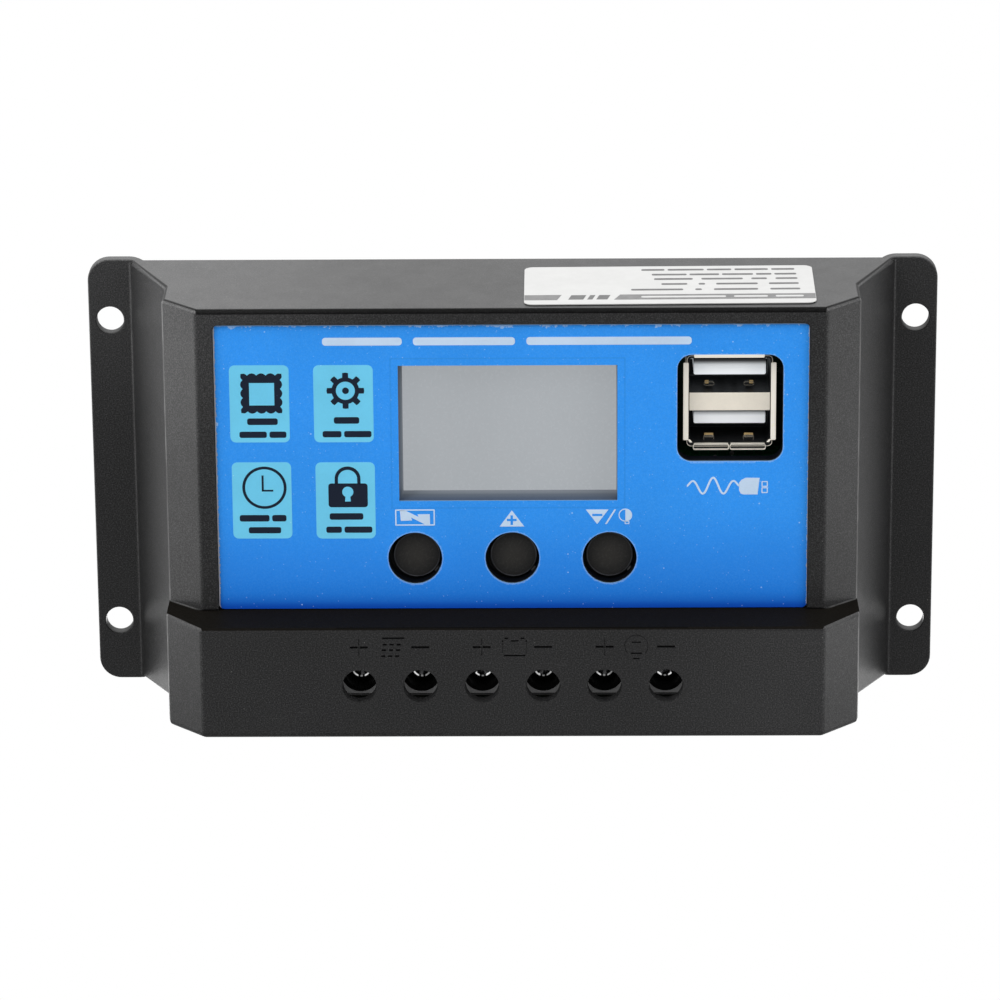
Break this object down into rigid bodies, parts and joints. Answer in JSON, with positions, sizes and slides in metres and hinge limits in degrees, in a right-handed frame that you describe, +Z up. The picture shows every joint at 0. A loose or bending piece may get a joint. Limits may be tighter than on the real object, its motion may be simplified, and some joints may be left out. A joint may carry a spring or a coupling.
{
  "type": "solar charge controller",
  "caption": "Wall-mounted solar charge controller with a stepped terminal cover, display window, push buttons, double USB socket and rising-cage screw terminals.",
  "frame": {"origin": "centre of the four mounting holes on the back plane", "axes": "+Z up the wall, +X to the right seen from the front, the front faces -Y and the back plane is Y = 0"},
  "size_m": [0.1334, 0.035, 0.0698],
  "materials": {
    "housing": "fine satin texture",
    "label": "printed film",
    "sticker": "paper sticker",
    "lcd_glass": "display face",
    "light_plastic": "moulded",
    "tinned_metal": "tinned",
    "button": "matte",
    "steel": "zinc plated",
    "usb_steel": "nickel plated",
    "circuit_board": "solder mask",
    "terminal_plastic": "moulded",
    "aluminium": "rolled",
    "brass": "stamped",
    "black_steel": "blackened",
    "chip": "moulded epoxy",
    "sleeve": "shrink sleeve",
    "ferrite": "sintered"
  },
  "bodies": {
    "controller": {"front_housing": "housing", "back_cover": "housing", "face_label": "label", "rating_sticker": "sticker", "lcd_glass": "lcd_glass", "lcd_frame": "light_plastic", "lcd_pin_strip": "tinned_metal", "switch_body_left": "steel", "switch_body_middle": "steel", "switch_body_right": "steel", "usb_shell": "usb_steel", "usb_insulator_upper": "light_plastic", "usb_insulator_lower": "light_plastic", "main_board": "circuit_board", "terminal_block": "terminal_plastic", "heat_plate": "aluminium", "contact_bar_1": "tinned_metal", "contact_bar_2": "tinned_metal", "contact_bar_3": "tinned_metal", "contact_bar_4": "tinned_metal", "contact_bar_5": "tinned_metal", "contact_bar_6": "tinned_metal", "cover_screw_1": "black_steel", "board_screw_1": "steel", "cover_screw_2": "black_steel", "board_screw_2": "steel", "cover_screw_3": "black_steel", "board_screw_3": "steel", "cover_screw_4": "black_steel", "board_screw_4": "steel", "power_transistor_1": "chip", "power_transistor_2": "chip", "power_transistor_3": "chip", "capacitor_1": "sleeve", "capacitor_2": "sleeve", "inductor": "ferrite", "control_chip": "chip", "regulator_chip": "chip", "diode_1": "chip", "diode_2": "chip"},
    "button_left": {"button_cap_left": "button", "switch_plunger_left": "button"},
    "button_middle": {"button_cap_middle": "button", "switch_plunger_middle": "button"},
    "button_right": {"button_cap_right": "button", "switch_plunger_right": "button"},
    "screw_1": {"terminal_screw_1": "steel"},
    "cage_1": {"clamp_cage_1": "brass"},
    "screw_2": {"terminal_screw_2": "steel"},
    "cage_2": {"clamp_cage_2": "brass"},
    "screw_3": {"terminal_screw_3": "steel"},
    "cage_3": {"clamp_cage_3": "brass"},
    "screw_4": {"terminal_screw_4": "steel"},
    "cage_4": {"clamp_cage_4": "brass"},
    "screw_5": {"terminal_screw_5": "steel"},
    "cage_5": {"clamp_cage_5": "brass"},
    "screw_6": {"terminal_screw_6": "steel"},
    "cage_6": {"clamp_cage_6": "brass"}
  },
  "joints": [
    {"name": "button_left_press", "type": "slide", "parent": "controller", "child": "button_left", "axis": [0, 1, 0], "range_m": [0, 0.00035], "stiffness_N_per_m": 3000},
    {"name": "button_middle_press", "type": "slide", "parent": "controller", "child": "button_middle", "axis": [0, 1, 0], "range_m": [0, 0.00035], "stiffness_N_per_m": 3000},
    {"name": "button_right_press", "type": "slide", "parent": "controller", "child": "button_right", "axis": [0, 1, 0], "range_m": [0, 0.00035], "stiffness_N_per_m": 3000},
    {"name": "screw_1_turn", "type": "hinge", "parent": "controller", "child": "screw_1", "pos_m": [-0.02365, -0.0265, -0.0246], "axis": [0, 1, 0], "range_deg": [0, 1990]},
    {"name": "cage_1_rise", "type": "slide", "parent": "controller", "child": "cage_1", "axis": [0, -1, 0], "range_m": [0, 0.00275]},
    {"name": "screw_2_turn", "type": "hinge", "parent": "controller", "child": "screw_2", "pos_m": [-0.01419, -0.0265, -0.0246], "axis": [0, 1, 0], "range_deg": [0, 1990]},
    {"name": "cage_2_rise", "type": "slide", "parent": "controller", "child": "cage_2", "axis": [0, -1, 0], "range_m": [0, 0.00275]},
    {"name": "screw_3_turn", "type": "hinge", "parent": "controller", "child": "screw_3", "pos_m": [-0.00473, -0.0265, -0.0246], "axis": [0, 1, 0], "range_deg": [0, 1990]},
    {"name": "cage_3_rise", "type": "slide", "parent": "controller", "child": "cage_3", "axis": [0, -1, 0], "range_m": [0, 0.00275]},
    {"name": "screw_4_turn", "type": "hinge", "parent": "controller", "child": "screw_4", "pos_m": [0.00473, -0.0265, -0.0246], "axis": [0, 1, 0], "range_deg": [0, 1990]},
    {"name": "cage_4_rise", "type": "slide", "parent": "controller", "child": "cage_4", "axis": [0, -1, 0], "range_m": [0, 0.00275]},
    {"name": "screw_5_turn", "type": "hinge", "parent": "controller", "child": "screw_5", "pos_m": [0.01419, -0.0265, -0.0246], "axis": [0, 1, 0], "range_deg": [0, 1990]},
    {"name": "cage_5_rise", "type": "slide", "parent": "controller", "child": "cage_5", "axis": [0, -1, 0], "range_m": [0, 0.00275]},
    {"name": "screw_6_turn", "type": "hinge", "parent": "controller", "child": "screw_6", "pos_m": [0.02365, -0.0265, -0.0246], "axis": [0, 1, 0], "range_deg": [0, 1990]},
    {"name": "cage_6_rise", "type": "slide", "parent": "controller", "child": "cage_6", "axis": [0, -1, 0], "range_m": [0, 0.00275]}
  ],
  "couplings": [
    {"joint": "screw_1_turn", "follows": "cage_1_rise", "rad_per_m": 12566},
    {"joint": "screw_2_turn", "follows": "cage_2_rise", "rad_per_m": 12566},
    {"joint": "screw_3_turn", "follows": "cage_3_rise", "rad_per_m": 12566},
    {"joint": "screw_4_turn", "follows": "cage_4_rise", "rad_per_m": 12566},
    {"joint": "screw_5_turn", "follows": "cage_5_rise", "rad_per_m": 12566},
    {"joint": "screw_6_turn", "follows": "cage_6_rise", "rad_per_m": 12566}
  ]
}
